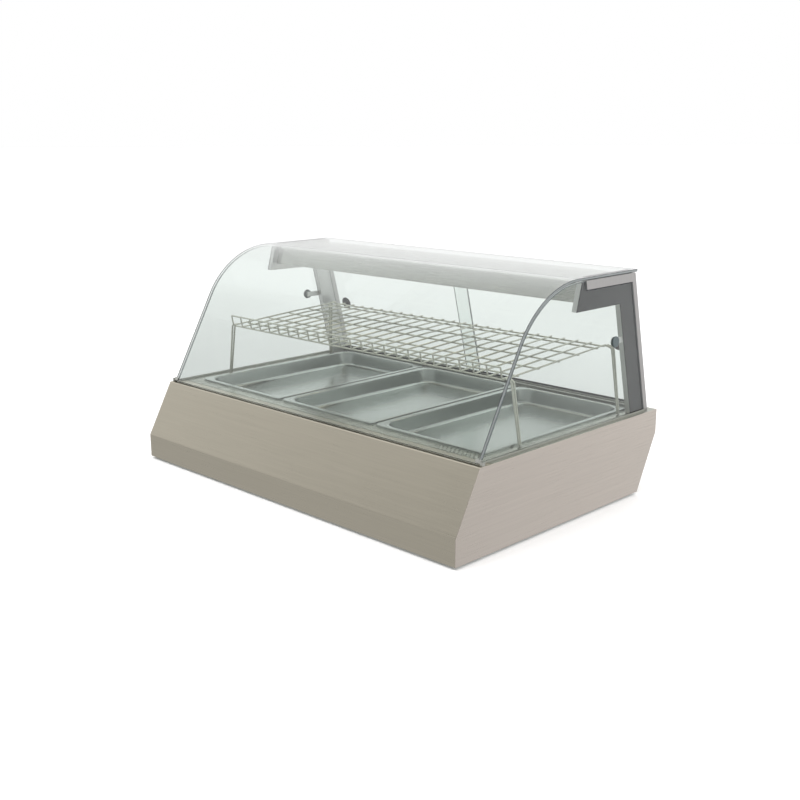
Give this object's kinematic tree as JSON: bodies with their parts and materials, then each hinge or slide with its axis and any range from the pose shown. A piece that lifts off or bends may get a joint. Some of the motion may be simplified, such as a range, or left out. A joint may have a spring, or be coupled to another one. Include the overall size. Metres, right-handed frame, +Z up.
{
  "type": "hot food display case",
  "caption": "Counter-top heated display case with a bent glass front, glass sides, sliding rear doors, drop-in food pans, a raised wire shelf and a lamp canopy.",
  "frame": {"origin": "under the middle of the bounding box, on the surface that the feet stand on", "axes": "+X to the right seen from the front, +Y to the rear, where the doors and controls are, +Z up"},
  "size_m": [1.1, 0.741, 0.5445],
  "materials": {
    "stainless_panels": "brushed",
    "plain_steel": "mill",
    "pan_steel": "satin",
    "wire": "bright plated",
    "bent_glass": "clear toughened",
    "side_glass": "clear toughened",
    "door_glass": "clear toughened",
    "dark_cover": "satin",
    "rails": "anodised",
    "black_plastic": "moulded",
    "rocker": "moulded",
    "pilot": "clear tinted",
    "white_plastic": "moulded",
    "lamp": "opal",
    "ballast": "gloss",
    "shaft": "turned",
    "insulation": "mineral wool",
    "rubber": "moulded"
  },
  "bodies": {
    "cabinet": {"front_panel": "stainless_panels", "side_panel_left": "stainless_panels", "side_panel_right": "stainless_panels", "rear_panel": "stainless_panels", "deck_front": "stainless_panels", "deck_rear": "stainless_panels", "deck_left": "stainless_panels", "deck_right": "stainless_panels", "frame_left": "stainless_panels", "frame_right": "stainless_panels", "bracket_left": "stainless_panels", "bracket_right": "stainless_panels", "canopy": "stainless_panels", "floor_panel": "plain_steel", "well_tub": "plain_steel", "pan_bars": "plain_steel", "heating_elements": "plain_steel", "glass_seats": "plain_steel", "hinge_blocks": "plain_steel", "hinge_pins": "plain_steel", "glass_fixings": "plain_steel", "panel_screws": "plain_steel", "side_glass_left": "side_glass", "side_glass_right": "side_glass", "bracket_covers": "dark_cover", "door_rail_top": "rails", "door_rail_bottom": "rails", "reflector": "rails", "switch_bodies": "black_plastic", "cable_gland": "black_plastic", "fan_frames": "black_plastic", "thermostat_body": "black_plastic", "pilot_lamp": "pilot", "lamp_holders": "white_plastic", "terminal_block": "white_plastic", "lamp_tube": "lamp", "lamp_ballast": "ballast", "insulation_mat": "insulation", "feet": "rubber", "roof_pads": "rubber"},
    "bent_pane": {"front_glass": "bent_glass", "glass_clamps": "plain_steel"},
    "left_door": {"door_left": "door_glass", "door_pull_left": "black_plastic", "door_runner_left": "black_plastic"},
    "right_door": {"door_right": "door_glass", "door_pull_right": "black_plastic", "door_runner_right": "black_plastic"},
    "left_pan": {"pan_left": "pan_steel"},
    "middle_pan": {"pan_middle": "pan_steel"},
    "right_pan": {"pan_right": "pan_steel"},
    "wire_shelf": {"shelf_grid": "wire", "shelf_guard": "wire", "shelf_legs": "wire"},
    "thermostat_control": {"thermostat_shaft": "shaft", "thermostat_knob": "black_plastic"},
    "main_switch": {"main_switch_rocker": "rocker"},
    "lamp_switch": {"lamp_switch_rocker": "rocker"},
    "left_fan": {"fan_rotor_left": "black_plastic"},
    "right_fan": {"fan_rotor_right": "black_plastic"}
  },
  "joints": [
    {"name": "bent_pane_tilt", "type": "hinge", "parent": "cabinet", "child": "bent_pane", "pos_m": [0, -0.28613, 0.2043], "axis": [1, 0, 0], "range_deg": [0, 60]},
    {"name": "left_door_slide", "type": "slide", "parent": "cabinet", "child": "left_door", "axis": [1, 0, 0], "range_m": [0, 0.475]},
    {"name": "right_door_slide", "type": "slide", "parent": "cabinet", "child": "right_door", "axis": [-1, 0, 0], "range_m": [0, 0.475]},
    {"name": "left_pan_lift", "type": "slide", "parent": "cabinet", "child": "left_pan", "axis": [0, 0, 1], "range_m": [0, 0.03]},
    {"name": "middle_pan_lift", "type": "slide", "parent": "cabinet", "child": "middle_pan", "axis": [0, 0, 1], "range_m": [0, 0.03]},
    {"name": "right_pan_lift", "type": "slide", "parent": "cabinet", "child": "right_pan", "axis": [0, 0, 1], "range_m": [0, 0.03]},
    {"name": "shelf_lift", "type": "slide", "parent": "cabinet", "child": "wire_shelf", "axis": [0, 0, 1], "range_m": [0, 0.06]},
    {"name": "thermostat_turn", "type": "hinge", "parent": "cabinet", "child": "thermostat_control", "pos_m": [0.4, 0.3525, 0.1705], "axis": [0, -1, 0], "range_deg": [0, 270]},
    {"name": "main_switch_rock", "type": "hinge", "parent": "cabinet", "child": "main_switch", "pos_m": [0.3, 0.3525, 0.1705], "axis": [-1, 0, 0], "range_deg": [0, 18]},
    {"name": "lamp_switch_rock", "type": "hinge", "parent": "cabinet", "child": "lamp_switch", "pos_m": [0.26, 0.3525, 0.1705], "axis": [-1, 0, 0], "range_deg": [0, 18]},
    {"name": "left_fan_spin", "type": "hinge", "parent": "cabinet", "child": "left_fan", "pos_m": [-0.1673, 0.0345, 0.098], "axis": [0, 0, 1], "continuous": true},
    {"name": "right_fan_spin", "type": "hinge", "parent": "cabinet", "child": "right_fan", "pos_m": [0.1673, 0.0345, 0.098], "axis": [0, 0, 1], "continuous": true}
  ]
}
